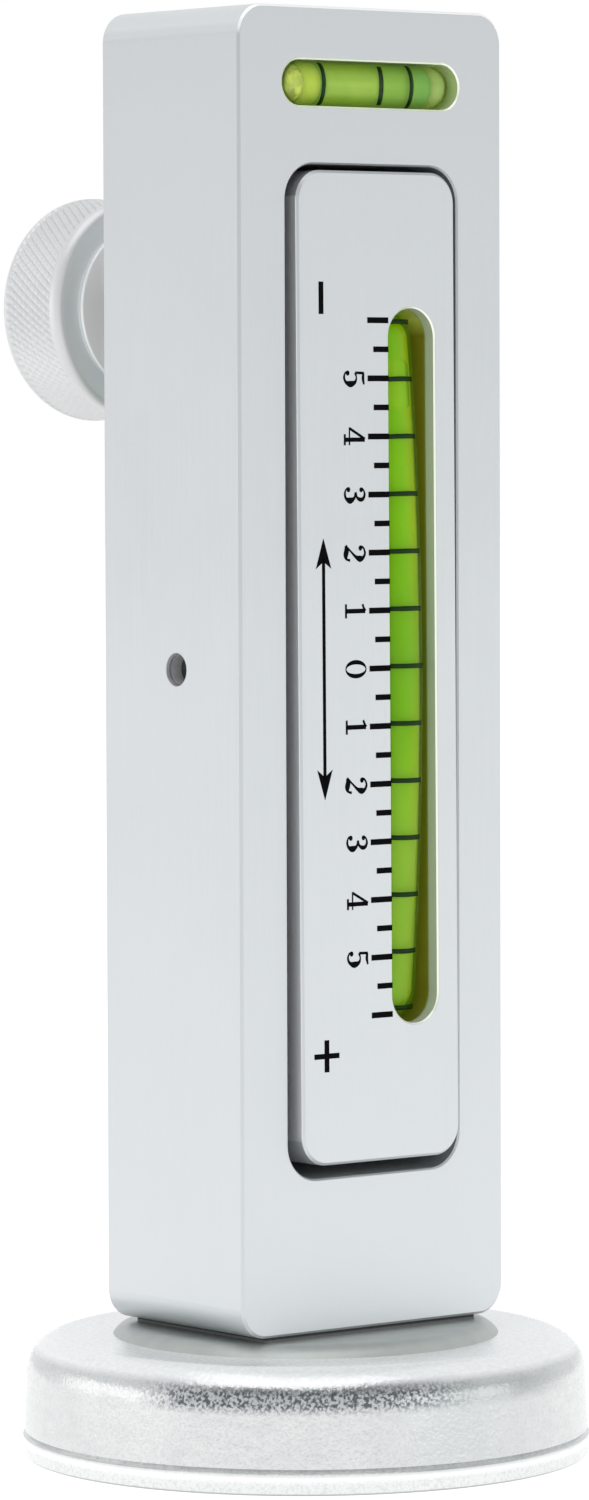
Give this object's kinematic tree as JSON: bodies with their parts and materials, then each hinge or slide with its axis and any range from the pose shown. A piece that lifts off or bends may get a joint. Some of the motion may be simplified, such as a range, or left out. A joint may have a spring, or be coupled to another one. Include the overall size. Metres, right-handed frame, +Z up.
{
  "type": "camber caster gauge",
  "caption": "Metal bar on a pot magnet, with a rocking block that carries two bent spirit vials, a short cross vial on top and a knurled knob that tilts the block.",
  "frame": {"origin": "centre of the magnet's face, which the gauge stands on", "axes": "+Z up along the bar, -Y towards the front with the scale, +X to the right seen from the front, +Y towards the knob"},
  "size_m": [0.0646, 0.0722, 0.1636],
  "materials": {
    "bar": "satin anodised, sharp milled edges",
    "block": "satin anodised, black scale lines and numbers",
    "knob_metal": "diamond knurl, turned faces",
    "steel": "turned",
    "dark_steel": "ground",
    "spring_steel": "bright wire",
    "bush_brass": "turned",
    "clear_tube": "clear polished tube with dark green ring lines",
    "green_liquid": "clear green liquid",
    "yellow_liquid": "clear yellow-green liquid",
    "bubble": "air bubble",
    "clear_plug": "moulded, clear green",
    "pale_bed": "pale setting compound",
    "plated_cup": "bright plating with a fine orange peel",
    "disc_steel": "smooth plated",
    "ferrite": "dull dark ferrite",
    "resin": "grey resin",
    "gasket_rubber": "black"
  },
  "bodies": {
    "bar_and_base": {"body_block": "bar", "pivot_pin": "steel", "screw_bush": "bush_brass", "thrust_washer": "steel", "friction_spring": "spring_steel", "return_spring": "spring_steel", "cross_vial": "clear_tube", "cross_liquid": "yellow_liquid", "cross_plugs": "clear_plug", "cross_bed": "pale_bed", "magnet_cup": "plated_cup", "magnet_ring": "ferrite", "filler_ring": "resin", "centre_pole": "dark_steel", "spacer_disc": "disc_steel", "gasket": "gasket_rubber", "base_stud": "steel"},
    "rocker": {"scale_block": "block", "wear_pad": "dark_steel", "camber_vial": "clear_tube", "camber_liquid": "green_liquid", "camber_plugs": "clear_plug", "camber_bed": "pale_bed", "caster_vial": "clear_tube", "caster_liquid": "green_liquid", "caster_plugs": "clear_plug", "caster_bed": "pale_bed"},
    "screw_tip": {"thrust_ball": "dark_steel"},
    "knob_and_screw": {"knob": "knob_metal", "adjusting_screw": "steel"},
    "camber_air": {"camber_bubble": "bubble"},
    "caster_air": {"caster_bubble": "bubble"},
    "cross_air": {"cross_bubble": "bubble"}
  },
  "joints": [
    {"name": "screw_travel", "type": "slide", "parent": "bar_and_base", "child": "screw_tip", "axis": [0, -1, 0], "range_m": [-0.00088, 0.00138], "deforming": ["friction_spring"]},
    {"name": "knob_turn", "type": "hinge", "parent": "screw_tip", "child": "knob_and_screw", "pos_m": [0, 0.03, 0.13065], "axis": [0, -1, 0], "range_deg": [-421, 661]},
    {"name": "rocker_tilt", "type": "hinge", "parent": "bar_and_base", "child": "rocker", "pos_m": [0, -0.00085, 0.08985], "axis": [1, 0, 0], "range_deg": [-1.23, 1.93], "deforming": ["return_spring"]},
    {"name": "camber_bubble_run", "type": "hinge", "parent": "rocker", "child": "camber_air", "pos_m": [0.005, 0.36489, 0.08762], "axis": [1, 0, 0], "range_deg": [0, 9.65], "deforming": ["camber_liquid"]},
    {"name": "caster_bubble_run", "type": "hinge", "parent": "rocker", "child": "caster_air", "pos_m": [-0.005, -0.36659, 0.09208], "axis": [-1, 0, 0], "range_deg": [0, 5.6], "deforming": ["caster_liquid"]},
    {"name": "cross_bubble_run", "type": "slide", "parent": "bar_and_base", "child": "cross_air", "axis": [1, 0, 0], "range_m": [-0.002, 0.0064], "deforming": ["cross_liquid"]}
  ],
  "couplings": [
    {"joint": "screw_travel", "follows": "rocker_tilt", "m_per_rad": 0.0408},
    {"joint": "knob_turn", "follows": "rocker_tilt", "ratio": 341.81}
  ]
}
